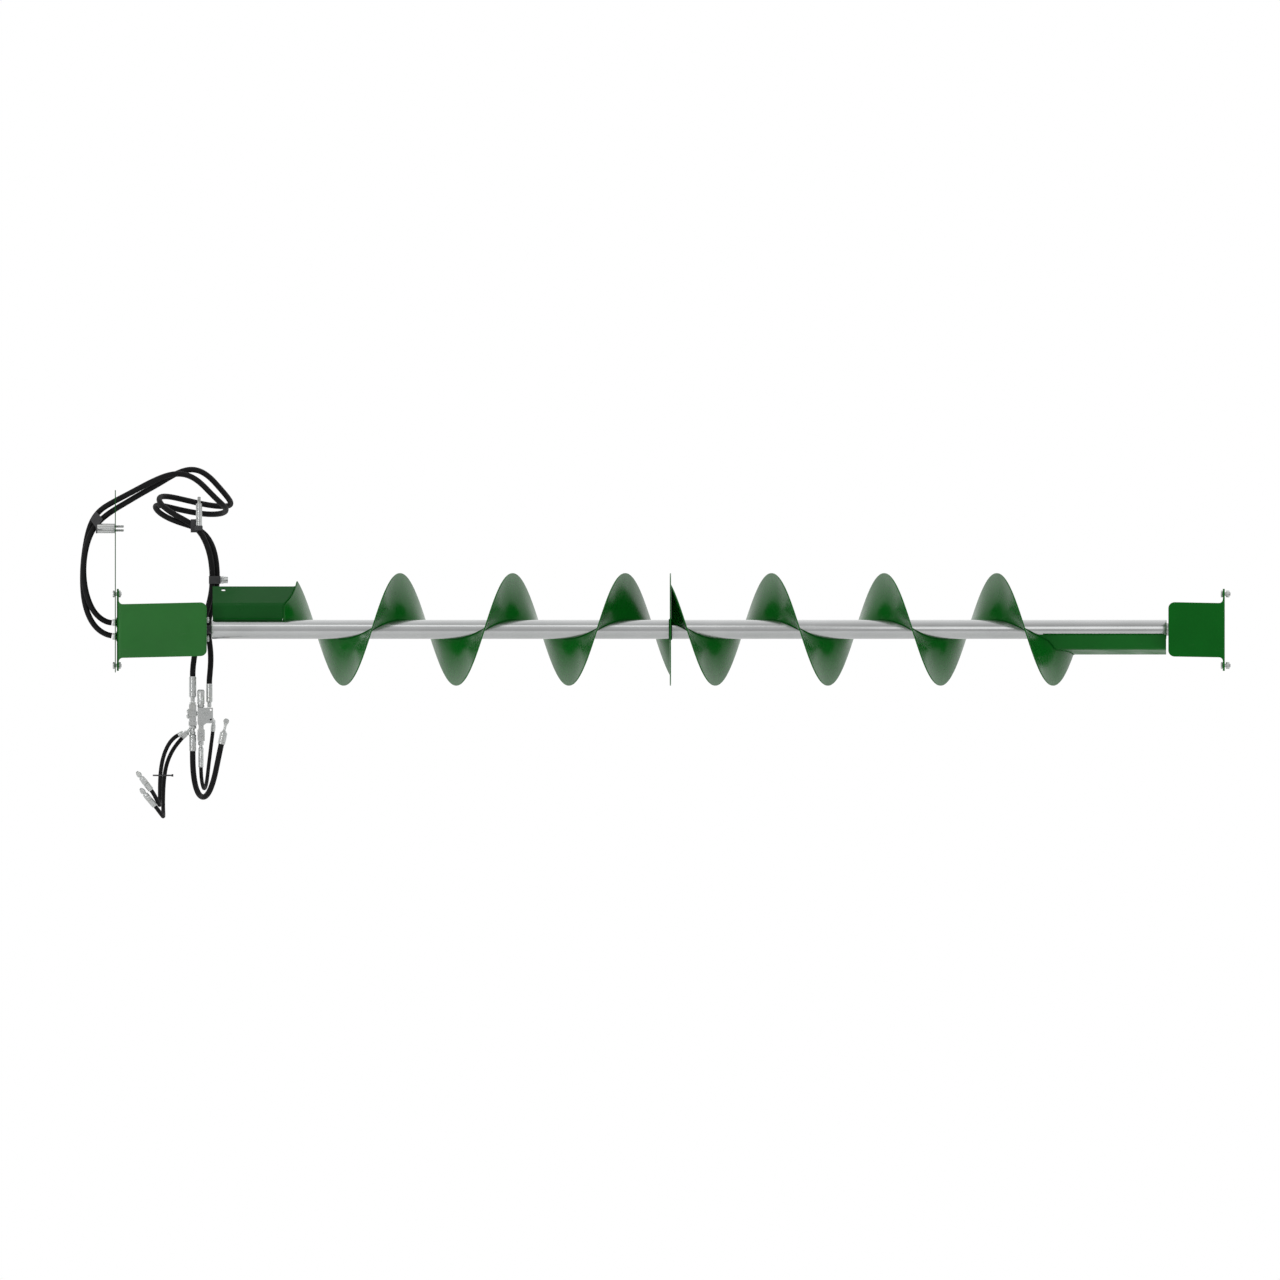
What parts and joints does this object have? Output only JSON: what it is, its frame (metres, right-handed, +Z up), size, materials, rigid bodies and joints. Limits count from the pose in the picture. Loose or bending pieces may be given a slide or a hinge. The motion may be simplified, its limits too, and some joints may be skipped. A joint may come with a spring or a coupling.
{
  "type": "cross auger",
  "caption": "Hydraulically driven cross auger with two opposed flights, a middle disc, end paddles, wall brackets, motor, bearing, hoses and valves.",
  "frame": {"origin": "on the auger's axis, at the wall face of the motor bracket", "axes": "+X along the auger from the motor to the bearing, +Y to the back where the valve group hangs, +Z up"},
  "size_m": [3.6333, 0.5156, 1.1083],
  "materials": {
    "green_paint": "gloss green paint",
    "green_bracket_paint": "satin green paint",
    "dark_green_paint": "satin dark green paint",
    "bare_steel": "bare drawn tube",
    "zinc_plate": "zinc plated",
    "cast_iron": "painted casting",
    "black_steel": "oiled steel",
    "hose_rubber": "matt hose cover",
    "black_plastic": "moulded plastic"
  },
  "bodies": {
    "frame": {"bearing_bracket": "green_paint", "motor_bracket": "green_bracket_paint", "hose_support_plate": "dark_green_paint", "motor_bolt_1": "zinc_plate", "motor_bolt_2": "zinc_plate", "motor_bolt_3": "zinc_plate", "motor_bolt_4": "zinc_plate", "motor_fitting_a": "zinc_plate", "motor_fitting_b": "zinc_plate", "drive_wall_bolt_1": "zinc_plate", "drive_wall_bolt_2": "zinc_plate", "drive_wall_bolt_3": "zinc_plate", "drive_wall_bolt_4": "zinc_plate", "bearing_bolt_1": "zinc_plate", "bearing_bolt_2": "zinc_plate", "idler_wall_bolt_1": "zinc_plate", "idler_wall_bolt_2": "zinc_plate", "idler_wall_bolt_3": "zinc_plate", "idler_wall_bolt_4": "zinc_plate", "support_standoff_1": "zinc_plate", "support_standoff_2": "zinc_plate", "top_standoff": "zinc_plate", "back_standoff": "zinc_plate", "hose_a_fitting": "zinc_plate", "hose_b_fitting": "zinc_plate", "inline_valve": "zinc_plate", "valve_block": "zinc_plate", "relief_cartridge": "zinc_plate", "supply_fitting": "zinc_plate", "supply_end_fitting": "zinc_plate", "pilot_fitting": "zinc_plate", "pilot_elbow": "zinc_plate", "coupler_tee": "zinc_plate", "quick_coupler_1": "zinc_plate", "quick_coupler_2": "zinc_plate", "motor_front_housing": "cast_iron", "motor_gear_section": "cast_iron", "motor_end_cover": "cast_iron", "bearing_housing": "cast_iron", "motor_hose_a": "hose_rubber", "motor_hose_b": "hose_rubber", "supply_hose": "hose_rubber", "pilot_hose": "hose_rubber", "coupler_hose_1": "hose_rubber", "coupler_hose_2": "hose_rubber", "support_clamp": "black_plastic", "top_clamp": "black_plastic", "back_clamp": "black_plastic", "cable_tie": "black_plastic"},
    "rotor": {"auger_tube": "bare_steel", "left_flight": "green_paint", "right_flight": "green_paint", "divider_disc": "green_paint", "left_paddle": "dark_green_paint", "right_paddle": "green_paint", "drive_hub": "black_steel", "motor_shaft": "black_steel", "shaft_key": "black_steel", "stub_shaft": "zinc_plate", "bearing_inner_ring": "zinc_plate"}
  },
  "joints": [
    {"name": "rotor_spin", "type": "hinge", "parent": "frame", "child": "rotor", "pos_m": [1.748, 0, 0], "axis": [1, 0, 0], "continuous": true}
  ]
}
